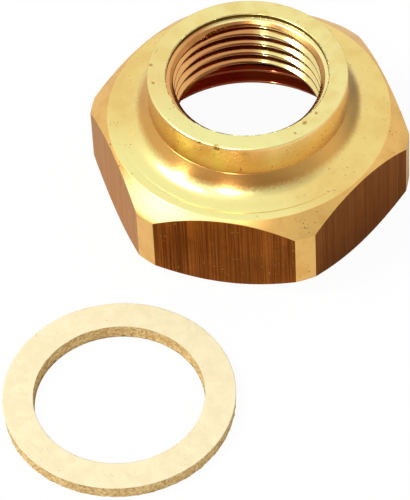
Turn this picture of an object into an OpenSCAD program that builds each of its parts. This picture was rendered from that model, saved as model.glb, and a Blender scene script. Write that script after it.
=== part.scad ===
// Reducing socket: a round collar with the smaller internal thread on a
// hexagonal body with the larger one, and the flat sealing ring that goes with
// it, lying beside it.
//
// The socket stands on its mouth: its axis is the Z axis, its standing rim is
// at Z = 0 and two of its six flats face along Y.
// Both threads are left plain here, at the diameter of their crests.

/* [Overall] */
// Height from the standing rim to the face of the collar
total_h = 20.7; // [19.7:0.5:25.7]

/* [Hexagon] */
// Width across the flats
flats = 38; // [37:0.5:42]
// How far the turned corner strips cut back the points of the hexagon
corner_cut = 0.76; // [0.4:0.01:1]
// Height of the shoulder's edge above the standing rim
shoulder_h = 13.25; // [12.75:0.1:14.75]
// How far the shoulder's edge lies inside the flats
shoulder_in = 0.37; // [0.1:0.01:0.5]
// Slope of the chamfer above the corner strips, in degrees
top_chamfer = 42.5; // [35:0.5:50]
// Slope of the chamfer below the corner strips, in degrees
base_chamfer = 39; // [30:0.5:50]
// Width of the flat rim that the socket stands on
rim_w = 0.9; // [0.5:0.05:1.2]

/* [Collar] */
// Outer diameter of the collar
collar_d = 26.3; // [25.3:0.5:28.8]
// Radius of the collar's rounded outer edge
collar_edge = 0.4; // [0.2:0.05:0.8]
// Height of the collar's foot above the shoulder's edge
foot_h = 2.75; // [2.4:0.05:3.1]
// Slope of the cone at the collar's foot, in degrees
foot_slope = 43.5; // [39:0.5:47]
// Radius of the hollow between that cone and the shoulder, seen in section
foot_fillet = 3.5; // [1:0.1:4]
// Slope of the shoulder, in degrees
shoulder_slope = 11; // [8:0.5:14]

/* [Smaller thread] */
// Major diameter of the thread in the collar
small_thread_d = 20.955; // [19.955:0.1:21.955]
// Diameter over the crests of that thread, where a plain bore stands for it
small_bore_d = 19.1; // [18.6:0.1:19.6]
// Depth of the recess above that thread
recess_h = 0.8; // [0.3:0.1:1.5]
// Clearance of the recess round the thread's major diameter
recess_clear = 0.12; // [0.02:0.01:0.3]
// Width of the ledge at the foot of the recess
ledge_w = 0.35; // [0.1:0.05:0.5]
// Height of the lead-in cone below the ledge
lead_h = 0.5; // [0.3:0.1:1.5]
// Height and width of the chamfer at that thread's inner end
exit_h = 0.3; // [0.1:0.1:0.6]

/* [Larger thread] */
// Major diameter of the thread in the hexagonal body
large_thread_d = 33.249; // [32.249:0.1:33.649]
// Diameter over the crests of that thread, where a plain bore stands for it
large_bore_d = 30.5; // [30:0.1:31]
// Height of the seal seat above the standing rim
seat_h = 11.2; // [10.5:0.1:11.6]
// Width of the relief groove between that thread and the seal seat, with its run-out
relief_w = 2.2; // [1.8:0.1:3]
// Clearance of the relief groove round the thread's major diameter
relief_clear = 0.2; // [0.05:0.05:0.3]
// Slope of the groove's side towards the thread, in degrees
relief_slope = 60; // [45:1:80]
// Clearance of the mouth's chamfer round the thread's major diameter
mouth_clear = 0.54; // [0.3:0.01:0.6]

/* [Sealing ring] */
// Thickness of the ring
ring_t = 2; // [1:0.1:3]
// Clearance between the ring's edge and the crests of the larger thread
ring_clear = 0.25; // [0.05:0.05:1]
// How far the ring's hole stands back from the smaller thread
ring_back = 0.45; // [0.1:0.05:1]
// Clear space between the socket's corners and the ring, as they lie
ring_gap = 5.2; // [1:0.1:20]
// Direction in which the ring lies, in degrees from X
ring_turn = 256; // [0:1:359]

/* [Hidden] */
$fn = 96;

// How far a cutting form runs past the face it opens
over = 1;

// Passages, from the mouth up to the collar's face
small_bore_r = small_bore_d / 2;
large_bore_r = large_bore_d / 2;
mouth_r = large_thread_d / 2 + mouth_clear;
relief_r = large_thread_d / 2 + relief_clear;
relief_runout = (relief_r - large_bore_r) / tan(relief_slope);
recess_r = small_thread_d / 2 + recess_clear;
recess_floor = total_h - recess_h;

// Hexagonal body
corner_r = flats / 2 / cos(30) - corner_cut;
rim_r = mouth_r + rim_w;
shoulder_r = flats / 2 - shoulder_in;
strip_low = (corner_r - rim_r) * tan(base_chamfer);
strip_high = shoulder_h - (corner_r - shoulder_r) * tan(top_chamfer);

// The shoulder falls outwards to its edge. The cone at the collar's foot meets
// it in a corner, which the hollow fills.
collar_r = collar_d / 2;
foot_z = shoulder_h + foot_h;
bend_x = (foot_h + collar_r * tan(foot_slope) - shoulder_r * tan(shoulder_slope))
    / (tan(foot_slope) - tan(shoulder_slope));
bend_z = shoulder_h + (shoulder_r - bend_x) * tan(shoulder_slope);
touch_l = foot_fillet * tan((foot_slope - shoulder_slope) / 2);
inner_x = bend_x - touch_l * cos(foot_slope);
inner_z = bend_z + touch_l * sin(foot_slope);
outer_x = bend_x + touch_l * cos(shoulder_slope);
outer_z = bend_z - touch_l * sin(shoulder_slope);
hollow_x = outer_x + foot_fillet * sin(shoulder_slope);
hollow_z = outer_z + foot_fillet * cos(shoulder_slope);

// Sealing ring
ring_r = large_bore_r - ring_clear;
ring_hole_r = small_thread_d / 2 + ring_back;
ring_reach = corner_r + ring_gap + ring_r;

// Half section of the turned collar, its outer edge rounded
module collar_section() {
    square([collar_r - collar_edge, total_h]);
    square([collar_r, total_h - collar_edge]);
    translate([collar_r - collar_edge, total_h - collar_edge])
        circle(collar_edge);
}

// Half section of the sloping shoulder, the cone and the hollow between them
module shoulder_section() {
    polygon([
        [0, strip_high],
        [shoulder_r, strip_high],
        [shoulder_r, shoulder_h],
        [bend_x, bend_z],
        [collar_r, foot_z],
        [0, foot_z],
    ]);
    difference() {
        polygon([
            [inner_x, strip_high],
            [outer_x, strip_high],
            [outer_x, outer_z],
            [inner_x, inner_z],
        ]);
        translate([hollow_x, hollow_z])
            circle(foot_fillet);
    }
}

// Half section of the turned corner strips and the chamfers on both sides
module hexagon_section() {
    polygon([
        [0, 0],
        [rim_r, 0],
        [corner_r, strip_low],
        [corner_r, strip_high],
        [shoulder_r, shoulder_h],
        [0, shoulder_h],
    ]);
}

// Half section of everything that is cut out along the axis
module passage_section() {
    polygon([
        [0, -over],
        [mouth_r + over, -over],
        [large_bore_r, mouth_r - large_bore_r],
        [large_bore_r, seat_h - relief_w],
        [relief_r, seat_h - relief_w + relief_runout],
        [relief_r, seat_h],
        [small_bore_r + exit_h, seat_h],
        [small_bore_r, seat_h + exit_h],
        [small_bore_r, recess_floor - lead_h],
        [recess_r - ledge_w, recess_floor],
        [recess_r, recess_floor],
        [recess_r, total_h + over],
        [0, total_h + over],
    ]);
}

// The socket: a turned form on a hexagonal bar, opened by the stepped passage
module socket_body() {
    color("#b8934a")
        difference() {
            intersection() {
                rotate_extrude()
                    union() {
                        collar_section();
                        shoulder_section();
                        hexagon_section();
                    }
                cylinder(h = total_h, d = flats / cos(30), $fn = 6);
            }
            rotate_extrude()
                passage_section();
        }
}

// The ring, cut from flat board, lying on the surface that the socket stands on
module sealing_ring() {
    color("#e4dac0")
        rotate(ring_turn)
            translate([ring_reach, 0])
                difference() {
                    cylinder(h = ring_t, r = ring_r);
                    translate([0, 0, -over])
                        cylinder(h = ring_t + 2 * over, r = ring_hole_r);
                }
}

socket_body();
sealing_ring();
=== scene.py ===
# %% [markdown]
# # A reducing socket in brass, with its sealing ring
#
# The object is a pipe fitting. A round collar with a small internal thread sits
# on a hexagonal body with a larger one, and a flat ring of pressed board lies in
# front of it. The solids from the CAD source give the sizes. This lesson turns
# them into two pieces that look like the real ones: real helical threads, eased
# edges, and brass that shows how each of its faces was made.

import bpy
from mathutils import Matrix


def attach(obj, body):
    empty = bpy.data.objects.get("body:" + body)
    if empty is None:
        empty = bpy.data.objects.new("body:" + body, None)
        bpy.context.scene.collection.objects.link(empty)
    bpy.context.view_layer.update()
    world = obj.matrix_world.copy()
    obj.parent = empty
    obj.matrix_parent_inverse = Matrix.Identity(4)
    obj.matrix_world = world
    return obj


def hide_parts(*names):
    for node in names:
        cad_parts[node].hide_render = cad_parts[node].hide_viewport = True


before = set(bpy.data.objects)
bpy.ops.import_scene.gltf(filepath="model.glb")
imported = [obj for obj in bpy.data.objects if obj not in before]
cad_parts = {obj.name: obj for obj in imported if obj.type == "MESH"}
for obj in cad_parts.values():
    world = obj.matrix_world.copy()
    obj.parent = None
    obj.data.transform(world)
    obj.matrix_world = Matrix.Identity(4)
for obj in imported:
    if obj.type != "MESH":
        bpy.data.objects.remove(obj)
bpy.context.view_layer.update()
print("nodes:", sorted(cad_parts))

# %% Modules
import math

import bmesh
import bpy
import numpy as np
from mathutils import Matrix, Vector, noise

# %% [markdown]
# ## Sizes
#
# The script can't read the CAD source, so it repeats the sizes it needs. They
# are millimetres here, as on a drawing, and `MM` turns them into Blender's
# metres at the last moment. The two threads are standard pipe threads of 55
# degrees, whose crests the bore has cut off.

# %% Sizes of the socket and the ring, in millimetres
MM = 0.001
total_h = 20.7
flat_half = 19.0
corner_r = flat_half / math.cos(math.radians(30)) - 0.76
shoulder_r, shoulder_h = flat_half - 0.37, 13.25
top_slope = math.tan(math.radians(42.5))
base_slope = math.tan(math.radians(39))
small_major, large_major = 20.955, 33.249
small_bore_r, large_bore_r, exit_h, lead_h = 9.55, 15.25, 0.3, 0.5
mouth_r = large_major / 2 + 0.54
rim_r = mouth_r + 0.9
collar_r, collar_ease = 13.15, 0.4
foot_h, foot_fillet = 2.75, 3.5
foot_slope, shoulder_slope = math.radians(43.5), math.radians(11)
seat_h = 11.2
relief_r, relief_low, relief_high = large_major / 2 + 0.2, 9.0, 9.9
recess_r, recess_floor, ledge_r, lead_high = 10.6, 19.98, 10.15, 19.85
thread_fades, thread_starts = 18.9, 19.35
ring_outer, ring_inner, ring_thick = 15.0, 10.93, 2.0
ring_turn, ring_reach = math.radians(256), corner_r + 5.2 + 15.0
print("socket", round(2 * corner_r, 2), "x", 2 * flat_half, "x", total_h, "mm")

# %% [markdown]
# ## The camera
#
# A long lens looks down at about 50 degrees. Its place was found by fitting
# circles of known size to the edges seen in the photograph. Writing the three
# axes of the camera as a matrix keeps the slight roll that a plain "look at"
# would lose.

# %% Camera
def aim_camera(target, azimuth, elevation, roll, distance, lens):
    """A camera that looks at target, in millimetres, from azimuth and elevation, in degrees."""
    az, el, ro = (math.radians(a) for a in (azimuth, elevation, roll))
    right = Vector((math.cos(az), math.sin(az), 0))
    up = Vector((-math.sin(az) * math.sin(el), math.cos(az) * math.sin(el), math.cos(el)))
    back = Vector((math.sin(az) * math.cos(el), -math.cos(az) * math.cos(el), math.sin(el)))
    right, up = (
        math.cos(ro) * right + math.sin(ro) * up,
        math.cos(ro) * up - math.sin(ro) * right,
    )
    data = bpy.data.cameras.new("camera")
    data.sensor_fit = "VERTICAL"
    data.sensor_height = 36
    data.lens = lens
    camera = bpy.data.objects.new("camera", data)
    bpy.context.scene.collection.objects.link(camera)
    place = Matrix((right, up, back)).transposed().to_4x4()
    place.translation = (Vector(target) + back * distance) * MM
    camera.matrix_world = place
    return camera


camera = aim_camera(
    target=(-3.858, -13.368, 0), azimuth=12.894, elevation=50.337, roll=-3.164, distance=551.1, lens=300.75
)
bpy.context.scene.camera = camera
print("camera at", [round(v, 3) for v in camera.matrix_world.translation])

# %% [markdown]
# ## Floor, backdrop and lamps
#
# Metal shows its surroundings, so the surroundings are part of the material.
# The photograph was taken on white. The world is white for the camera. In
# reflections it is white all round, but dimmer behind the camera and to its
# right, and to matt surfaces it gives a plain soft light. The floor is nearly
# white for the camera. A small share of it stays an ordinary pale surface, which
# keeps the object's shadow.

# %% Helpers for node trees
def node(tree, kind, **settings):
    """A new node in tree, with its settings made."""
    made = tree.nodes.new(kind)
    for name, value in settings.items():
        setattr(made, name, value)
    return made


def plug(tree, value, socket):
    """Joins an output to socket, or writes a plain value on it."""
    if isinstance(value, bpy.types.NodeSocket):
        tree.links.new(value, socket)
    elif value is not None:
        socket.default_value = value


def calc(tree, operation, first, second=None, clamp=False):
    """A Math node's output."""
    made = node(tree, "ShaderNodeMath", operation=operation, use_clamp=clamp)
    for value, socket in zip((first, second), made.inputs):
        plug(tree, value, socket)
    return made.outputs[0]


def times(tree, first, second):
    """Two values multiplied."""
    return calc(tree, "MULTIPLY", first, second)


def fade(tree, share, first, second):
    """A value that goes from first to second as share goes from 0 to 1."""
    return calc(tree, "ADD", first, times(tree, share, calc(tree, "SUBTRACT", second, first)))


def blend(tree, share, first, second, strength=1.0):
    """The first colour, with that much of the second where share is 1."""
    if strength != 1.0:
        share = times(tree, share, strength)
    made = node(tree, "ShaderNodeMix", data_type="RGBA")
    plug(tree, share, made.inputs[0])
    plug(tree, first, made.inputs[6])
    plug(tree, second, made.inputs[7])
    return made.outputs[2]


def ramp(tree, value, low, high, to_low=0.0, to_high=1.0):
    """A value that rises smoothly from to_low at low to to_high at high."""
    made = node(tree, "ShaderNodeMapRange", interpolation_type="SMOOTHSTEP")
    for given, socket in zip((value, low, high, to_low, to_high), made.inputs):
        plug(tree, given, socket)
    return made.outputs[0]


def paint(red, green, blue):
    """A colour as a paint chart writes it, 0 to 255, in the linear form that shaders take."""
    def linear(c):
        c /= 255
        return c / 12.92 if c <= 0.04045 else ((c + 0.055) / 1.055) ** 2.4

    return (linear(red), linear(green), linear(blue), 1.0)


def mirror_rays(tree, path):
    """1 for what metal and glass show, from a Light Path node."""
    return calc(tree, "ADD", path.outputs["Is Glossy Ray"], path.outputs["Is Transmission Ray"], clamp=True)


# %% The world
BACKDROP_WHITE, ROOM_LIGHT, ROOM_SHADE = 1.0, 0.44, 0.7
DIM_SIDE = (312, 38)


def toward(azimuth, elevation):
    """The direction to a point of the room, in degrees."""
    az, el = math.radians(azimuth), math.radians(elevation)
    return Vector((math.cos(az) * math.cos(el), math.sin(az) * math.cos(el), math.sin(el)))


def light_the_room():
    """White for the camera, plain soft light for matt surfaces, and white with a dim side in reflections."""
    world = bpy.data.worlds.new("studio")
    bpy.context.scene.world = world
    world.use_nodes = True
    sky = world.node_tree
    sky.nodes.clear()
    path = node(sky, "ShaderNodeLightPath")
    facing = node(sky, "ShaderNodeVectorMath", operation="DOT_PRODUCT")
    plug(sky, node(sky, "ShaderNodeTexCoord").outputs["Generated"], facing.inputs[0])
    facing.inputs[1].default_value = toward(*DIM_SIDE)
    backdrop = ramp(sky, facing.outputs["Value"], 0.75, 0.96, BACKDROP_WHITE, ROOM_SHADE)
    strength = fade(sky, mirror_rays(sky, path), ROOM_LIGHT, backdrop)
    strength = fade(sky, path.outputs["Is Camera Ray"], strength, BACKDROP_WHITE)
    glow = node(sky, "ShaderNodeBackground")
    plug(sky, strength, glow.inputs["Strength"])
    plug(sky, (1, 1, 1, 1), glow.inputs["Color"])
    plug(sky, glow.outputs[0], node(sky, "ShaderNodeOutputWorld").inputs["Surface"])


light_the_room()
print("world: room light", ROOM_LIGHT, "dim side", ROOM_SHADE)

# %% The floor
def lay_floor(half_width, drop):
    """A large plain sheet just under the object, in metres."""
    mesh = bpy.data.meshes.new("floor")
    w = half_width
    corners = [(-w, -w, -drop), (w, -w, -drop), (w, w, -drop), (-w, w, -drop)]
    mesh.from_pydata(corners, [], [(0, 1, 2, 3)])
    floor = bpy.data.objects.new("floor", mesh)
    bpy.context.scene.collection.objects.link(floor)
    return floor


def floor_paper(camera_white, mirror_white):
    """Pale paper, with the shares of pure white that the camera and reflections see."""
    material = bpy.data.materials.new("floor_paper")
    material.use_nodes = True
    tree = material.node_tree
    tree.nodes.clear()
    path = node(tree, "ShaderNodeLightPath")
    direct = times(tree, path.outputs["Is Camera Ray"], camera_white)
    mirrored = times(tree, mirror_rays(tree, path), mirror_white)
    white_share = calc(tree, "ADD", direct, mirrored, clamp=True)
    paper = node(tree, "ShaderNodeBsdfDiffuse")
    plug(tree, (0.9, 0.9, 0.9, 1), paper.inputs["Color"])
    white = node(tree, "ShaderNodeEmission")
    mix = node(tree, "ShaderNodeMixShader")
    plug(tree, white_share, mix.inputs[0])
    plug(tree, paper.outputs[0], mix.inputs[1])
    plug(tree, white.outputs[0], mix.inputs[2])
    plug(tree, mix.outputs[0], node(tree, "ShaderNodeOutputMaterial").inputs["Surface"])
    return material


floor = lay_floor(half_width=3.0, drop=0.00002)
floor.data.materials.append(floor_paper(camera_white=0.96, mirror_white=0.03))
print("floor laid")

# %% [markdown]
# Each highlight in the photograph is a small mirror picture of a lamp. Mirroring
# the line of sight at the bright places of the shoulder gives the direction of
# each lamp. A large box on the left gives the soft glow, small lamps give the
# sharp spots, and one lamp that isn't mirrored softens the shadows.

# %% The lamps
def hang_lamp(name, azimuth, elevation, distance, width, height, power, mirrored=True):
    """A round or oval lamp in that direction from the object, in millimetres, degrees and watts."""
    data = bpy.data.lights.new(name, "AREA")
    data.shape = "ELLIPSE"
    data.size, data.size_y = width * MM, height * MM
    data.energy = power
    lamp = bpy.data.objects.new(name, data)
    bpy.context.scene.collection.objects.link(lamp)
    way = toward(azimuth, elevation)
    lamp.rotation_euler = way.to_track_quat("Z", "Y").to_euler()
    lamp.location = way * distance * MM
    lamp.visible_glossy = mirrored
    return lamp


lamps = [
    hang_lamp("lamp_left", 213, 37, 700, 74, 74, 0.21),
    hang_lamp("box_left", 197, 53, 700, 190, 320, 1.3),
    hang_lamp("box_core", 198.5, 59, 700, 80, 100, 1.15),
    hang_lamp("lamp_front", 257.5, 54, 700, 34, 140, 0.95),
    hang_lamp("lamp_bore", 245, 71, 700, 64, 130, 0.045),
    hang_lamp("lamp_soft", 120, 60, 900, 700, 700, 0.2, mirrored=False),
]
print("lamps:", [lamp.name for lamp in lamps])

# %% [markdown]
# ## The threads
#
# A pipe thread is a groove of 55 degrees with rounded crests and roots, cut as
# a helix. A bump texture would leave the ridges flat where they cross the edge
# of the bore, so the groove is cut in the mesh. The points of the bore's wall
# follow the helix: each column of points keeps its place on the thread's form
# and climbs by one pitch a turn.

# %% The thread's form
FLANK, CREST = math.tan(math.radians(27.5)), 0.05


def form_shares(form):
    """Where the flank ends and how deep the groove is, as a share of the pitch and in millimetres."""
    depth = form["major_d"] / 2 - form["crest_r"]
    return CREST + depth * FLANK / form["pitch"], depth


def thread_radius(z, angle, form):
    """Radius of an internal thread's wall at height z and angle, in millimetres and radians."""
    turns = (z - form["crest_z"]) / form["pitch"] - (angle - form["crest_angle"]) / (2 * math.pi)
    share = np.abs((turns + 0.5) % 1.0 - 0.5)
    end, depth = form_shares(form)
    at = (0, CREST - 0.005, CREST + 0.01, end - 0.01, end + 0.03, 0.5)
    return form["crest_r"] + depth * np.interp(share, at, (0, 0, 0.03, 0.97, 1, 1))


def thread_steps(form):
    """Places across one pitch for the columns, closer where the form bends."""
    end, _ = form_shares(form)
    half = [CREST - 0.008, CREST + 0.01, CREST + 0.03, end - 0.03, end - 0.012, end + 0.03]
    return [-0.5] + [-h for h in reversed(half)] + [0.0] + half


start = math.radians(100)
SMALL = dict(
    major_d=small_major, crest_r=9.53, pitch=1.814, crest_z=17.9, crest_angle=start,
    fades=thread_fades, starts=thread_starts,
)
LARGE = dict(major_d=large_major, crest_r=15.22, pitch=2.309, crest_z=4.4, crest_angle=start)
for form in (SMALL, LARGE):
    print("crest radius:", thread_radius(form["crest_z"], form["crest_angle"], form))

# %% [markdown]
# ## The section of the socket
#
# The socket is turned from a hexagonal bar, so one section swept round the axis
# makes all of it, if the wall's radius changes with the angle as the hexagon's
# does. Each corner of the section is eased by a small curve with a support line
# on both sides, as a file leaves it. That gives the thin bright lines that metal
# edges have.

# %% Angles round the axis
def sector_angles():
    """Angles from a flat's middle to the next corner, closer where the corner strip begins, in degrees."""
    edge = math.degrees(math.acos(flat_half / corner_r))
    flat = np.linspace(0, edge - 0.6, 20)
    bend = edge + np.array([-0.33, -0.15, 0.0, 0.15, 0.33])
    strip = np.linspace(edge + 0.7, 30, 5)
    return np.concatenate([flat, bend, strip])


half_sector = sector_angles()
sector = np.concatenate([half_sector, 60 - half_sector[-2:0:-1]])
angles = np.radians(np.concatenate([sector + 30 + 60 * i for i in range(6)] + [[390.0]]))
print("angles round the axis:", len(angles))


# %% The wall of the hexagon
def ease_min(first, second, width):
    """The smaller of two values, rounded where they cross."""
    h = np.clip(0.5 + 0.5 * (second - first) / width, 0, 1)
    return second * (1 - h) + first * h - width * h * (1 - h)


from_flat = np.degrees(angles) % 60 - 30
wall = ease_min(flat_half / np.cos(np.radians(from_flat)), corner_r, 0.06)
strip_from = math.degrees(math.acos(flat_half / corner_r))
on_strip = np.minimum(np.abs(from_flat[:-1]), np.abs(from_flat[1:])) > strip_from - 0.01
wall_low = (wall - rim_r) * base_slope
CHAMFER_BULGE = 0.07


def chamfer_z(radius):
    """Height of the upper chamfer, which bulges a little between the shoulder's edge and the strips."""
    along = (radius - shoulder_r) / (corner_r - shoulder_r)
    return shoulder_h - (radius - shoulder_r) * top_slope + 4 * CHAMFER_BULGE * along * (1 - along)


wall_high = chamfer_z(wall)
print("wall from", round(wall.min(), 3), "to", round(wall.max(), 3))

# %% The shoulder and the cone at the collar's foot
foot_z = shoulder_h + foot_h
rise, fall = math.tan(foot_slope), math.tan(shoulder_slope)
bend_x = (foot_h + collar_r * rise - shoulder_r * fall) / (rise - fall)
bend_z = shoulder_h + (shoulder_r - bend_x) * fall
reach = foot_fillet * math.tan((foot_slope - shoulder_slope) / 2)
outer_x = bend_x + reach * math.cos(shoulder_slope)
outer_z = bend_z - reach * math.sin(shoulder_slope)
hollow_x = outer_x + foot_fillet * math.sin(shoulder_slope)
hollow_z = outer_z + foot_fillet * math.cos(shoulder_slope)
hollow = [
    (hollow_x - foot_fillet * math.sin(a), hollow_z - foot_fillet * math.cos(a))
    for a in np.linspace(shoulder_slope, foot_slope, 12)
]
land_r = 17.5
land_z = shoulder_h + (shoulder_r - land_r) * fall
print("hollow from", [round(v, 2) for v in hollow[0]], "to", [round(v, 2) for v in hollow[-1]])

# %% [markdown]
# A section is a list of stations. Each one is a radius, a height, the ease of
# its corner, the number of steps to the next station and the finish of the face
# that begins there. A radius or a height may be a list, one value an angle.

# %% Stations to columns of points
SUPPORT = 0.05
EASE_STEPS = (0, 0.25, 0.5, 0.75, 1)


def curve(before, corner, after):
    """Five points of a small curve that rounds a corner."""
    return [(1 - t) ** 2 * before + 2 * t * (1 - t) * corner + t**2 * after for t in EASE_STEPS]


def trace(stations, count):
    """Columns of (radius, height) for that many angles, and the finish of each strip between them."""
    at = [np.array([np.broadcast_to(v, count) for v in station[:2]], dtype=float) for station in stations]
    columns, finishes = [], []

    def lay(point, finish):
        columns.append(point)
        finishes.append(finish)

    for i, (_, _, ease, _, finish) in enumerate(stations):
        here = at[i]
        before = stations[i - 1][4] if i else finish
        if ease and 0 < i < len(stations) - 1:
            a = (at[i - 1] - here) / np.linalg.norm(at[i - 1] - here, axis=0)
            b = (at[i + 1] - here) / np.linalg.norm(at[i + 1] - here, axis=0)
            lay(here + a * (ease + SUPPORT), before)
            for t, point in zip(EASE_STEPS, curve(here + a * ease, here, here + b * ease)):
                lay(point, before if t < 0.5 else finish)
            lay(here + b * (ease + SUPPORT), finish)
        else:
            lay(here, finish)
        steps = stations[i][3]
        if steps > 1 and i < len(stations) - 1:
            start = columns[-1]
            end = at[i + 1]
            if stations[i + 1][2] and i + 1 < len(stations) - 1:
                back = (here - end) / np.linalg.norm(here - end, axis=0)
                end = end + back * (stations[i + 1][2] + SUPPORT)
            for k in range(1, steps):
                lay(start + (end - start) * k / steps, finish)
    return columns, finishes


# %% Threaded stretches
def threaded(low, high, envelope, form, finish, ease=0.02):
    """Columns from high to low that follow the thread, no narrower than the envelope (heights, radii)."""
    pitch = form["pitch"]
    first = math.floor((low - form["crest_z"]) / pitch - 2)
    last = math.ceil((high - form["crest_z"]) / pitch + 2)
    shares = [turn + step for turn in range(first, last) for step in thread_steps(form)]
    columns, finishes = [], []
    for share in sorted(shares, reverse=True):
        z = form["crest_z"] + pitch * (share + (angles - form["crest_angle"]) / (2 * math.pi))
        z = np.clip(z, low, high)
        if z.min() >= high:
            columns, finishes = [], []
        elif columns and columns[-1][1].max() <= low:
            break
        plain = np.interp(z, *envelope)
        cut = thread_radius(z, angles, form)
        if "fades" in form:
            fading = np.clip((form["starts"] - z) / (form["starts"] - form["fades"]), 0, 1)
            cut = form["crest_r"] + (cut - form["crest_r"]) * fading
        columns.append(np.stack([-ease_min(-plain, -cut, ease), z]))
        finishes.append(finish)
    return columns, finishes


# %% The whole section
FACED, COLLAR, SHOULDER, CHAMFER, FLATS, BORE, RECESS = range(7)
chamfer_rows = [shoulder_r + (wall - shoulder_r) * k for k in (0.62, 0.5, 0.38)]
outside = [
    (mouth_r, 0, 0, 2, CHAMFER),
    (rim_r, 0, 0.12, 3, CHAMFER),
    (wall, wall_low, 0.16, 14, FLATS),
    (wall, wall_high, 0.12, 1, CHAMFER),
    *[(r, chamfer_z(r), 0, 1, CHAMFER) for r in chamfer_rows],
    (shoulder_r, shoulder_h, 0.10, 4, SHOULDER),
    # A fine groove round the shoulder
    (land_r + 0.08, land_z - 0.012, 0, 1, SHOULDER),
    (land_r, land_z - 0.03, 0, 1, SHOULDER),
    (land_r - 0.08, land_z + 0.012, 0, 5, SHOULDER),
    # The hollow, and the cone up to the collar, which sags a little
    *[(r, z, 0, 1, SHOULDER) for r, z in hollow[:-1]],
    (*hollow[-1], 0, 1, SHOULDER),
    *[
        (
            hollow[-1][0] + (collar_r - hollow[-1][0]) * k,
            hollow[-1][1] + (foot_z - hollow[-1][1]) * k - 4 * 0.03 * k * (1 - k),
            0, 1, SHOULDER,
        )
        for k in np.linspace(0, 0.94, 9)[1:]
    ],
    # A fine line where the collar meets its foot
    (collar_r + 0.06, foot_z - 0.055, 0, 1, SHOULDER),
    (collar_r + 0.01, foot_z - 0.03, 0, 1, SHOULDER),
    (collar_r - 0.05, foot_z + 0.01, 0, 1, COLLAR),
    (collar_r, foot_z + 0.07, 0, 1, COLLAR),
    (collar_r, foot_z + 0.13, 0, 9, COLLAR),
    (collar_r, total_h, collar_ease, 7, FACED),
    (recess_r + 0.2, total_h, 0.07, 1, FACED),
    (recess_r, total_h - 0.09, 0.05, 3, RECESS),
    (recess_r, recess_floor, 0.04, 2, BORE),
    (ledge_r + 0.1, lead_high + 0.04, 0, 1, BORE),
]
small_envelope = (
    (seat_h, seat_h + exit_h, lead_high - lead_h, lead_high),
    (small_bore_r + exit_h, small_bore_r, small_bore_r, ledge_r),
)
large_envelope = ((0, mouth_r - large_bore_r, relief_low), (mouth_r, large_bore_r, large_bore_r))
between = [
    (10.2, seat_h, 0, 2, BORE),
    (relief_r - 0.4, seat_h, 0, 1, BORE),
    (relief_r, seat_h - 0.25, 0, 2, BORE),
    (relief_r, relief_high, 0, 2, BORE),
    (15.6, relief_low + 0.2, 0, 1, BORE),
]
columns, finishes = [], []
for part in (
    trace(outside, len(angles)),
    threaded(seat_h, lead_high, small_envelope, SMALL, BORE),
    trace(between, len(angles)),
    threaded(0, relief_low, large_envelope, LARGE, BORE),
):
    columns += part[0]
    finishes += part[1]
print("columns in the section:", len(columns))

# %% [markdown]
# ## Unevenness
#
# Nothing on a real fitting is perfectly round. Low ripples of about two
# hundredths of a millimetre break the reflections on the shoulder and the
# collar into the soft patches that tell metal from paint. They only take
# material away, so the piece stays inside the CAD solid's box.

# %% Ripples on the outside
def ripple(x, y, z, size, seed):
    """A smooth random value from 0 to 1 at a point in millimetres."""
    return 0.5 + 0.5 * noise.noise(Vector((x / size + seed, y / size, z / size)))


def two_ripples(x, y, z, coarse, fine, share):
    """A coarse and a fine ripple at each point of a column, mixed. Both are (size, seed)."""
    return np.array([
        ripple(a, b, c, *coarse) * share + ripple(a, b, c, *fine) * (1 - share) for a, b, c in zip(x, y, z)
    ])


RIPPLE_DEPTH = {FACED: 0.006, COLLAR: 0.02, SHOULDER: 0.022, CHAMFER: 0.02, FLATS: 0.015, BORE: 0, RECESS: 0}
cosines, sines = np.cos(angles), np.sin(angles)
for column, finish in zip(columns, finishes):
    depth = RIPPLE_DEPTH[finish]
    if depth == 0:
        continue
    sink = two_ripples(column[0] * cosines, column[0] * sines, column[1], (3.5, 3), (1.3, 9), 0.7)
    sink[-1] = sink[0]
    inner = column[1] > 0.3
    if finish in (SHOULDER, FACED):
        column[1] -= depth * sink * inner
    else:
        column[0] -= depth * sink * inner
print("deepest ripple:", max(RIPPLE_DEPTH.values()), "mm")


# %% Columns to a mesh
WELD, SLIVER = 2e-7, 1e-7


def sweep(name, columns, finishes, cosines, sines):
    """A closed mesh from columns of (radius, height), one row of points an angle.

    Points closer than WELD become one, and edges shorter than SLIVER go, in metres.
    """
    rows, count = len(cosines), len(columns)
    r = np.array([c[0] for c in columns]) * MM
    z = np.array([c[1] for c in columns]) * MM
    points = np.stack([r * cosines, r * sines, z], axis=-1).reshape(-1, 3)
    faces, slots = [], []
    for i in range(count):
        j = (i + 1) % count
        for k in range(rows - 1):
            faces.append((i * rows + k, i * rows + k + 1, j * rows + k + 1, j * rows + k))
            slots.append(CHAMFER if finishes[i] == FLATS and on_strip[k] else finishes[i])
    mesh = bpy.data.meshes.new(name)
    mesh.from_pydata(points.tolist(), [], faces)
    mesh.polygons.foreach_set("material_index", slots)
    work = bmesh.new()
    work.from_mesh(mesh)
    bmesh.ops.remove_doubles(work, verts=work.verts, dist=WELD)
    bmesh.ops.dissolve_degenerate(work, edges=work.edges, dist=SLIVER)
    bmesh.ops.recalc_face_normals(work, faces=work.faces)
    for face in work.faces:
        face.smooth = True
    work.to_mesh(mesh)
    work.free()
    piece = bpy.data.objects.new(name, mesh)
    bpy.context.scene.collection.objects.link(piece)
    return piece


socket = sweep("brass_socket", columns, finishes, cosines, sines)
triangles = sum(len(p.vertices) - 2 for p in socket.data.polygons)
print("brass_socket:", len(socket.data.vertices), "points,", triangles, "triangles")

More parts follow.
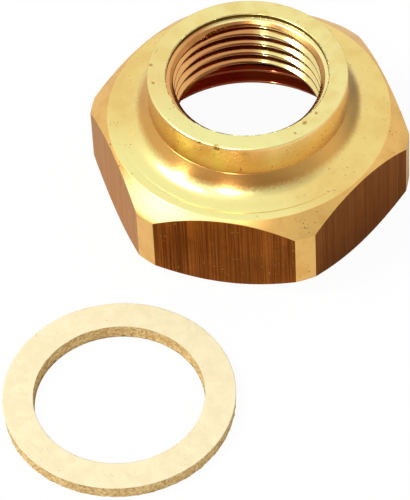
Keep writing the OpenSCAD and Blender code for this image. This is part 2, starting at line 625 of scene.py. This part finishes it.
# %% [markdown]
# ## The ring
#
# The ring is punched from pressed fibre board. The punch leaves a slightly
# rolled upper edge and a rough, fibrous cut, and the board's faces are never
# quite flat. The same sweep makes it: a section with eased corners, whose cut
# edges are roughened by fine noise.

# %% The ring's section
ring_angles = np.radians(np.linspace(0, 360, 721))
BOARD, CUT = 0, 1
CUT_DEPTH, WAVE_DEPTH = 0.3, 0.05
ring_stations = [
    (ring_inner, 0, 0, 1, BOARD),
    (ring_inner + 0.06, 0, 0, 10, BOARD),
    (ring_outer - 0.06, 0, 0, 1, CUT),
    (ring_outer, 0.06, 0, 12, CUT),
    (ring_outer, ring_thick, 0.16, 24, BOARD),
    (ring_inner, ring_thick, 0.16, 12, CUT),
    (ring_inner, 0.06, 0, 1, CUT),
]
ring_columns, ring_finishes = trace(ring_stations, len(ring_angles))
ring_cos, ring_sin = np.cos(ring_angles), np.sin(ring_angles)
ring_middle = (ring_inner + ring_outer) / 2
for column, finish in zip(ring_columns, ring_finishes):
    x, y = column[0] * ring_cos, column[0] * ring_sin
    if finish == CUT:
        outward = 1 if column[0][0] > ring_middle else -1
        coarse = np.array([ripple(a, b, c * 1.6, 0.55, 4) for a, b, c in zip(x, y, column[1])])
        fine = np.array([ripple(a, b, c * 2.5, 0.22, 8) for a, b, c in zip(x, y, column[1])])
        column[0] -= outward * CUT_DEPTH * (coarse * 0.6 + fine * 0.4)
    if column[1].max() > 1:
        wave = two_ripples(x, y, np.zeros_like(x), (6, 2), (1.1, 5), 0.7)
        column[1] -= WAVE_DEPTH * wave * np.clip(column[1] - 1, 0, 1)
    column[:, -1] = column[:, 0]
ring = sweep("board_ring", ring_columns, ring_finishes, ring_cos, ring_sin)
ring.location = (ring_reach * math.cos(ring_turn) * MM, ring_reach * math.sin(ring_turn) * MM, 0)
print("board_ring:", len(ring.data.polygons), "faces")

# %% [markdown]
# ## Shared surface effects
#
# The finishes are mixed from a few effects, so each effect is a node group:
# marks of the turning tool, streaks of the drawing die, small specks, and clouds
# of tarnish. A group takes the place on the object in millimetres, so its values
# read like measurements.

# %% Helpers for groups
def new_group(name, inputs, outputs):
    """A shader node group with named inputs (name, kind, value) and outputs (name, kind)."""
    group = bpy.data.node_groups.new(name, "ShaderNodeTree")
    for label, kind, value in inputs:
        socket = group.interface.new_socket(label, in_out="INPUT", socket_type="NodeSocket" + kind)
        if value is not None:
            socket.default_value = value
    for label, kind in outputs:
        group.interface.new_socket(label, in_out="OUTPUT", socket_type="NodeSocket" + kind)
    given = node(group, "NodeGroupInput")
    wanted = node(group, "NodeGroupOutput")
    return group, given.outputs, wanted.inputs


def cloud(tree, place, scale, detail=2.0, roughness=0.5):
    """A noise value from 0 to 1 at place."""
    made = node(tree, "ShaderNodeTexNoise", noise_dimensions="3D")
    plug(tree, place, made.inputs["Vector"])
    plug(tree, scale, made.inputs["Scale"])
    plug(tree, detail, made.inputs["Detail"])
    plug(tree, roughness, made.inputs["Roughness"])
    return made.outputs["Fac"]


def joined(tree, x, y, z):
    """Three values as one vector."""
    made = node(tree, "ShaderNodeCombineXYZ")
    for value, socket in zip((x, y, z), made.inputs):
        plug(tree, value, socket)
    return made.outputs[0]


def apart(tree, vector):
    """The three values of a vector."""
    made = node(tree, "ShaderNodeSeparateXYZ")
    plug(tree, vector, made.inputs[0])
    return made.outputs[0], made.outputs[1], made.outputs[2]


def radius_of(tree, x, y):
    """Distance from the axis."""
    squares = calc(tree, "ADD", times(tree, x, x), times(tree, y, y))
    return calc(tree, "SQRT", squares)


# %% Marks of the turning tool
def make_turned_marks():
    """Fine rings round the axis, which fade in and out round the turn."""
    group, given, wanted = new_group(
        "turned_marks",
        [("Place", "Vector", None), ("Spacing", "Float", 0.15), ("Wander", "Float", 0.3)],
        [("Height", "Float"), ("Tint", "Float")],
    )
    x, y, z = apart(group, given["Place"])
    radius = radius_of(group, x, y)
    drift = times(group, cloud(group, given["Place"], 0.12, 1.0), given["Wander"])
    per = calc(group, "DIVIDE", 1.0, given["Spacing"])
    line = joined(
        group,
        times(group, calc(group, "ADD", radius, drift), per),
        times(group, calc(group, "ADD", z, drift), per),
        times(group, x, 0.04),
    )
    rings = cloud(group, line, 1.0, 2.0, 0.6)
    patch = cloud(group, given["Place"], 0.25, 2.0)
    faded = ramp(group, patch, 0.35, 0.65, 0.35, 1.0)
    plug(group, times(group, rings, faded), wanted["Height"])
    plug(group, ramp(group, rings, 0.35, 0.7), wanted["Tint"])
    return group


turned_marks = make_turned_marks()
print("group:", turned_marks.name)


# %% Streaks of the drawing die
def make_drawn_streaks():
    """Streaks along the bar, fine and broad, as the die leaves them."""
    group, given, wanted = new_group(
        "drawn_streaks",
        [("Place", "Vector", None), ("Width", "Float", 0.25), ("Length", "Float", 8.0)],
        [("Height", "Float"), ("Tint", "Float")],
    )
    x, y, z = apart(group, given["Place"])
    along = calc(group, "DIVIDE", z, given["Length"])
    per = calc(group, "DIVIDE", 1.0, given["Width"])
    across = [times(group, value, per) for value in (x, y)]
    broad = [times(group, value, 0.18) for value in across]
    fine = cloud(group, joined(group, *across, along), 1.0, 3.0, 0.65)
    wide = cloud(group, joined(group, *broad, times(group, along, 0.5)), 1.0, 2.0, 0.5)
    both = calc(group, "ADD", times(group, fine, 0.75), times(group, wide, 0.25))
    plug(group, fine, wanted["Height"])
    plug(group, ramp(group, both, 0.36, 0.62), wanted["Tint"])
    return group


drawn_streaks = make_drawn_streaks()
print("group:", drawn_streaks.name)


# %% Specks
def make_specks():
    """Small dark or light specks, gathered in loose patches."""
    group, given, wanted = new_group(
        "specks",
        [("Place", "Vector", None), ("Size", "Float", 0.3), ("Amount", "Float", 0.3)],
        [("Mask", "Float")],
    )
    per = calc(group, "DIVIDE", 1.0, given["Size"])
    grains = cloud(group, given["Place"], per, 1.5, 0.55)
    gather = cloud(group, given["Place"], times(group, per, 0.13), 1.0)
    gathered = times(group, calc(group, "SUBTRACT", gather, 0.5), 0.35)
    level = calc(group, "ADD", grains, gathered)
    start = calc(group, "SUBTRACT", 0.80, times(group, given["Amount"], 0.3))
    plug(group, ramp(group, level, start, calc(group, "ADD", start, 0.07)), wanted["Mask"])
    return group


specks = make_specks()
print("group:", specks.name)


# %% Clouds of tarnish
def make_tarnish():
    """Soft patches of darker, redder metal, with a finer grain inside them."""
    group, given, wanted = new_group(
        "tarnish",
        [("Place", "Vector", None), ("Size", "Float", 4.0), ("Grain", "Float", 0.35)],
        [("Patches", "Float"), ("Fine", "Float")],
    )
    per = calc(group, "DIVIDE", 1.0, given["Size"])
    patches = cloud(group, given["Place"], per, 3.0, 0.55)
    plug(group, ramp(group, patches, 0.4, 0.68), wanted["Patches"])
    grain = calc(group, "DIVIDE", 1.0, given["Grain"])
    plug(group, cloud(group, given["Place"], grain, 2.0, 0.6), wanted["Fine"])
    return group


tarnish = make_tarnish()
print("group:", tarnish.name)


# %% Placing a group, and starting a material
def use(tree, group, place, **values):
    """A group placed in a material, with its own values. Returns its outputs."""
    made = node(tree, "ShaderNodeGroup", node_tree=group)
    plug(tree, place, made.inputs["Place"])
    for label, value in values.items():
        plug(tree, value, made.inputs[label])
    return made.outputs


def start_material(name, metallic):
    """A material with a Principled shader. Returns it, its tree, the shader and the place in millimetres."""
    material = bpy.data.materials.new(name)
    material.use_nodes = True
    tree = material.node_tree
    tree.nodes.clear()
    shader = node(tree, "ShaderNodeBsdfPrincipled")
    shader.inputs["Metallic"].default_value = metallic
    plug(tree, shader.outputs[0], node(tree, "ShaderNodeOutputMaterial").inputs["Surface"])
    scale = node(tree, "ShaderNodeVectorMath", operation="SCALE")
    plug(tree, node(tree, "ShaderNodeTexCoord").outputs["Object"], scale.inputs[0])
    scale.inputs["Scale"].default_value = 1 / MM
    return material, tree, shader, scale.outputs[0]


def side(tree, place, azimuth, low, high):
    """1 on the side of the object that faces azimuth, from that many millimetres off the axis."""
    off = node(tree, "ShaderNodeVectorMath", operation="DOT_PRODUCT")
    plug(tree, place, off.inputs[0])
    off.inputs[1].default_value = toward(azimuth, 0)
    return ramp(tree, off.outputs["Value"], low, high)


def washed(tree, place, colour, washes, where):
    """A colour tinted on some sides, for painted light and shade and for tones of the metal. Each wash is an
    azimuth, from, to, a strength and a tone.
    """
    for azimuth, low, high, strength, tone in washes:
        share = times(tree, side(tree, place, azimuth, low, high), where)
        colour = blend(tree, share, colour, tone, strength)
    return colour


def stains(tree, place, spots):
    """Ragged round stains: x, y and z in millimetres, and the size."""
    ragged = times(tree, cloud(tree, place, 2.2, 2.0), 0.9)
    mask = 0.0
    for x, y, z, size in spots:
        away = node(tree, "ShaderNodeVectorMath", operation="DISTANCE")
        plug(tree, place, away.inputs[0])
        away.inputs[1].default_value = (x, y, z)
        here = calc(tree, "ADD", away.outputs["Value"], times(tree, ragged, size))
        mask = calc(tree, "MAXIMUM", mask, ramp(tree, here, size * 1.1, size * 0.7))
    return mask


def raise_surface(tree, shader, height, depth):
    """Bumps the surface by height times depth, in millimetres."""
    bump = node(tree, "ShaderNodeBump")
    bump.inputs["Strength"].default_value = 1.0
    bump.inputs["Distance"].default_value = depth * MM
    plug(tree, height, bump.inputs["Height"])
    plug(tree, bump.outputs[0], shader.inputs["Normal"])


# %% [markdown]
# ## Turned brass
#
# The collar, its face, the shoulder and the chamfers were turned, but each has
# its own tone: the face is freshly cut and pale, its paleness partly a painted
# highlight, the shoulder is satin, the chamfers are a little more orange. One
# maker with different values covers them. Tool marks go into the bump and
# faintly into the colour, tarnish and specks into colour, roughness and bump.
# Washes are painted light and shade: they make some sides paler with painted
# highlights and reflections, and others darker and more orange with painted
# shade. The rim has a few brown stains.

# %% Turned finishes
def turned_brass(
    name, tone, shade, speck_tone, roughness, spacing, depth, speck_size, clouds,
    washes=(), wash_above=None, foot_tone=None, foot_washes=(), spots=(),
):
    """Brass as the lathe leaves it: tone in the clear, shade in the clouds, specks on top.

    Washes paint light and shade on one side, and stay above wash_above. Foot tones, with their own washes,
    stay on the cone by the collar.
    """
    material, tree, shader, place = start_material(name, 1.0)
    marks = use(tree, turned_marks, place, Spacing=spacing)
    patches = use(tree, tarnish, place, Size=clouds)
    dots = use(tree, specks, place, Size=speck_size, Amount=0.33)
    colour = blend(tree, patches["Patches"], tone, shade)
    colour = blend(tree, marks["Tint"], colour, shade, 0.18)
    x, y, z = apart(tree, place)
    above = 1.0 if wash_above is None else ramp(tree, z, wash_above, wash_above + 0.7)
    colour = washed(tree, place, colour, washes, above)
    if foot_tone:
        reach = calc(tree, "ADD", radius_of(tree, x, y), times(tree, patches["Fine"], 0.5))
        foot = ramp(tree, reach, 15.3, 14.3)
        colour = blend(tree, foot, colour, foot_tone)
        colour = washed(tree, place, colour, foot_washes, foot)
    dark = calc(tree, "MAXIMUM", dots["Mask"], stains(tree, place, spots))
    colour = blend(tree, dark, colour, speck_tone, 0.8)
    plug(tree, colour, shader.inputs["Base Color"])
    rough = calc(tree, "ADD", roughness, times(tree, patches["Fine"], 0.12))
    rough = calc(tree, "ADD", rough, times(tree, dots["Mask"], 0.2), clamp=True)
    plug(tree, rough, shader.inputs["Roughness"])
    height = calc(tree, "ADD", marks["Height"], times(tree, patches["Fine"], 0.6))
    height = calc(tree, "SUBTRACT", height, times(tree, dots["Mask"], 1.2))
    raise_surface(tree, shader, height, depth)
    return material


RIM_STAINS = (
    (8.85, -7.28, 20.7, 0.7), (7.86, -9.16, 20.7, 0.45), (9.96, -5.38, 20.7, 0.4), (-4.1, -12.4, 20.6, 0.6),
    (-1.75, -13.0, 20.5, 0.9), (-12.67, -0.39, 20.7, 0.5), (-11.82, -3.44, 20.7, 0.4),
)
# The face's pale tone is partly a painted highlight, and its washes are painted light and shade: paler at
# the front, more orange on the left.
faced_brass = turned_brass(
    "faced_brass", tone=paint(241, 228, 154), shade=paint(234, 212, 134), speck_tone=paint(176, 130, 62),
    roughness=0.2, spacing=0.12, depth=0.004, speck_size=0.35, clouds=3.0,
    washes=((190, 6, 13, 0.6, paint(236, 208, 132)), (262, 5, 12, 0.8, paint(241, 238, 164))),
    spots=RIM_STAINS,
)
# The collar's washes are painted light and shade: darker on the left, paler on the right, a more orange band
# at the front, and two narrow yellow strips that paint reflections of the shoulder's highlights.
collar_brass = turned_brass(
    "collar_brass", tone=paint(243, 203, 134), shade=paint(232, 184, 110), speck_tone=paint(124, 78, 34),
    roughness=0.23, spacing=0.2, depth=0.003, speck_size=0.4, clouds=3.0,
    washes=(
        (205, 5, 12, 0.85, paint(201, 148, 66)),
        (308, 11.4, 13, 0.7, paint(252, 218, 142)),
        (264, 13.05, 13.14, 0.5, paint(228, 200, 96)),
        (242, 13.02, 13.12, 0.3, paint(236, 216, 112)),
        (279, 12.6, 13.1, 0.6, paint(234, 172, 98)),
    ),
    spots=RIM_STAINS,
)
# The shoulder's wash is a painted highlight, a pale yellow glow on its front left.
shoulder_brass = turned_brass(
    "shoulder_brass", tone=paint(239, 212, 132), shade=paint(232, 199, 120), speck_tone=paint(140, 98, 48),
    roughness=0.15, spacing=0.25, depth=0.003, speck_size=0.25, clouds=5.0,
    washes=((252, 7, 16, 0.85, paint(243, 236, 158)),),
    foot_tone=paint(208, 158, 84),
    foot_washes=((274, 10.8, 13.8, 0.65, paint(150, 96, 44)), (15, 10.0, 14.0, 0.75, paint(138, 114, 66))),
)
# The chamfer's wash is a painted highlight on its upper front left.
chamfer_brass = turned_brass(
    "chamfer_brass", tone=paint(233, 188, 110), shade=paint(223, 174, 97), speck_tone=paint(112, 68, 34),
    roughness=0.32, spacing=0.18, depth=0.005, speck_size=0.3, clouds=2.5,
    washes=((243, 17.0, 19.5, 0.9, paint(243, 226, 162)),), wash_above=10.9,
)
# Painted shade: the narrow wall of the recess inside the face is painted dark brown.
shaded_recess_brass = turned_brass(
    "shaded_recess_brass", tone=paint(132, 102, 46), shade=paint(106, 80, 34), speck_tone=paint(60, 44, 18),
    roughness=0.45, spacing=0.1, depth=0.006, speck_size=0.3, clouds=2.0,
)
print("turned finishes made")

# %% [markdown]
# ## The drawn flats
#
# The six flats are the skin of the drawn bar. It was never cut, so it is dark
# brown, with fine streaks along the bar and pale specks where the skin has
# rubbed through. Two of the three flats at the front are washed: the left one
# paler, as a painted reflection of the light it catches at a slant, and the
# right one more even.

# %% Drawn skin
# The left flat's wash is a painted reflection that makes it paler; the right flat's wash makes it more even.
SKIN_SHEEN_AND_TINT = ((210, 18.4, 18.6, 0.8, paint(194, 137, 71)), (330, 18.4, 18.6, 0.5, paint(128, 70, 4)))


def drawn_skin():
    """Dark brown skin of the drawn bar."""
    material, tree, shader, place = start_material("drawn_skin", 1.0)
    streaks = use(tree, drawn_streaks, place, Width=0.14, Length=22.0)
    patches = use(tree, tarnish, place, Size=5.0)
    rubbed = use(tree, specks, place, Size=0.22, Amount=0.3)
    colour = blend(tree, streaks["Tint"], paint(96, 46, 8), paint(158, 90, 31))
    colour = blend(tree, patches["Patches"], colour, paint(106, 56, 14), 0.5)
    colour = blend(tree, rubbed["Mask"], colour, paint(206, 160, 92), 0.6)
    colour = washed(tree, place, colour, SKIN_SHEEN_AND_TINT, 1.0)
    plug(tree, colour, shader.inputs["Base Color"])
    shader.inputs["Specular Tint"].default_value = paint(230, 222, 214)
    rough = ramp(tree, streaks["Tint"], 0.0, 1.0, 0.42, 0.3)
    rough = calc(tree, "ADD", rough, times(tree, patches["Fine"], 0.1))
    plug(tree, rough, shader.inputs["Roughness"])
    height = calc(tree, "ADD", streaks["Height"], times(tree, patches["Fine"], 0.4))
    raise_surface(tree, shader, height, 0.012)
    return material


drawn_flats = drawn_skin()
print("material:", drawn_flats.name)

# %% [markdown]
# ## The bore
#
# The threads were cut last and are the brightest metal, but they are seen in
# each other. Every reflection takes out more blue and green, so a gold colour
# turns orange on the flanks. The render follows only some of the reflections, so
# the undersides and the cavity's far wall carry painted shade, a darker, redder
# tone, as well. The far side of the threads is darkened by painted shade too,
# their right side is paler with a painted reflection of bright light, and one
# side of the ledge above them has a painted highlight.

# %% Cut threads
def cut_thread():
    """Brass of the threads: bright on the crests, darker and redder with painted shade in the grooves and
    the cavity, darker with painted shade on the far side, and paler with painted light on the right side and
    the ledge.
    """
    material, tree, shader, place = start_material("cut_thread", 1.0)
    marks = use(tree, turned_marks, place, Spacing=0.1, Wander=0.6)
    patches = use(tree, tarnish, place, Size=2.5)
    x, y, z = apart(tree, place)
    radius = radius_of(tree, x, y)
    # Painted shade darkens the far side of the threads, and a painted reflection of bright light makes their
    # right side pale yellow.
    colour = blend(tree, side(tree, place, 118, 7.4, 9.2), paint(228, 170, 104), paint(192, 130, 80), 0.65)
    colour = blend(tree, side(tree, place, 30, 3.5, 5.5), colour, paint(238, 221, 148))
    colour = blend(tree, marks["Tint"], colour, paint(196, 128, 62), 0.15)
    # Painted shade: faces that look down in the small bore turn darker and redder.
    normal = apart(tree, node(tree, "ShaderNodeTexCoord").outputs["Normal"])[2]
    under = times(tree, ramp(tree, normal, 0.05, -0.35), ramp(tree, z, 9.5, 11.0))
    colour = blend(tree, under, colour, paint(206, 104, 54), 0.9)
    # Painted shade on the cavity's far wall below the seat.
    cavity = times(tree, ramp(tree, z, seat_h + 0.1, seat_h - 0.3), side(tree, place, 100, 5, 12))
    colour = blend(tree, cavity, colour, paint(186, 86, 54), 0.85)
    tan = blend(tree, patches["Patches"], paint(180, 122, 66), paint(154, 100, 50))
    lead = times(tree, ramp(tree, z, 19.0, 19.2), ramp(tree, radius, 10.2, 10.1))
    colour = blend(tree, lead, colour, tan, 0.85)
    # A painted highlight on one side of the ledge at the top of the thread.
    ledge = times(tree, ramp(tree, z, lead_high - 0.03, lead_high + 0.01), side(tree, place, 60, 1.8, 5.9))
    colour = blend(tree, ledge, colour, paint(243, 228, 160))
    plug(tree, colour, shader.inputs["Base Color"])
    rough = calc(tree, "ADD", ramp(tree, z, 19.0, 19.3, 0.08, 0.24), times(tree, patches["Fine"], 0.06))
    plug(tree, rough, shader.inputs["Roughness"])
    raise_surface(tree, shader, calc(tree, "ADD", marks["Height"], patches["Fine"]), 0.0015)
    return material


thread_brass = cut_thread()
for finish in (
    faced_brass, collar_brass, shoulder_brass, chamfer_brass, drawn_flats, thread_brass, shaded_recess_brass
):
    socket.data.materials.append(finish)
print("finishes on the socket:", [m.name for m in socket.data.materials])

# %% [markdown]
# ## The board
#
# Pressed fibre board is matt and cream, mottled by fibres of several shades.
# The cut edge is darker and tan, because there the fibres stand open. Bump and
# colour share the same fibre noise.

# %% Fibres
def make_fibres():
    """Short fibres that lie every way, as a value and a height."""
    group, given, wanted = new_group(
        "fibres",
        [("Place", "Vector", None), ("Size", "Float", 0.5)],
        [("Height", "Float"), ("Mottle", "Float")],
    )
    per = calc(group, "DIVIDE", 1.0, given["Size"])
    bend = node(group, "ShaderNodeVectorMath", operation="SCALE")
    wobble = node(group, "ShaderNodeTexNoise", noise_dimensions="3D")
    plug(group, given["Place"], wobble.inputs["Vector"])
    plug(group, times(group, per, 0.5), wobble.inputs["Scale"])
    plug(group, wobble.outputs["Color"], bend.inputs[0])
    plug(group, 1.2, bend.inputs["Scale"])
    bent = node(group, "ShaderNodeVectorMath", operation="ADD")
    plug(group, given["Place"], bent.inputs[0])
    plug(group, bend.outputs[0], bent.inputs[1])
    strands = cloud(group, bent.outputs[0], per, 4.0, 0.65)
    plug(group, strands, wanted["Height"])
    plug(group, ramp(group, strands, 0.38, 0.66), wanted["Mottle"])
    return group


fibres = make_fibres()


# %% Board finishes
def pressed_board(name, light, dark, fleck_tone, size, depth):
    """Matt fibre board, light and dark fibres mixed, with a few flecks."""
    material, tree, shader, place = start_material(name, 0.0)
    strands = use(tree, fibres, place, Size=size)
    patches = use(tree, tarnish, place, Size=3.0)
    flecks = use(tree, specks, place, Size=0.3, Amount=0.3)
    colour = blend(tree, strands["Mottle"], light, dark)
    colour = blend(tree, patches["Patches"], colour, dark, 0.35)
    colour = blend(tree, flecks["Mask"], colour, fleck_tone, 0.5)
    plug(tree, colour, shader.inputs["Base Color"])
    plug(tree, ramp(tree, strands["Mottle"], 0.0, 1.0, 0.8, 0.95), shader.inputs["Roughness"])
    shader.inputs["Specular IOR Level"].default_value = 0.25
    raise_surface(tree, shader, strands["Height"], depth)
    return material


board_face = pressed_board(
    "board_face", paint(246, 234, 194), paint(241, 226, 182), paint(206, 176, 128), size=1.6, depth=0.02
)
board_cut = pressed_board(
    "board_cut", paint(246, 216, 152), paint(198, 156, 92), paint(126, 90, 44), size=0.45, depth=0.2
)
ring.data.materials.append(board_face)
ring.data.materials.append(board_cut)
print("finishes on the ring:", [m.name for m in ring.data.materials])

# %% [markdown]
# ## Joining the pieces to the frame
#
# Each piece stands for one CAD solid and rides on its body.

# %% Frame
for piece, cad_node, slot in ((socket, "socket_body", "brass"), (ring, "sealing_ring", "fibre_board")):
    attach(piece, "root")
    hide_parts(cad_node)

bpy.context.scene.view_settings.view_transform = "Standard"

# %% The end
bpy.context.view_layer.update()
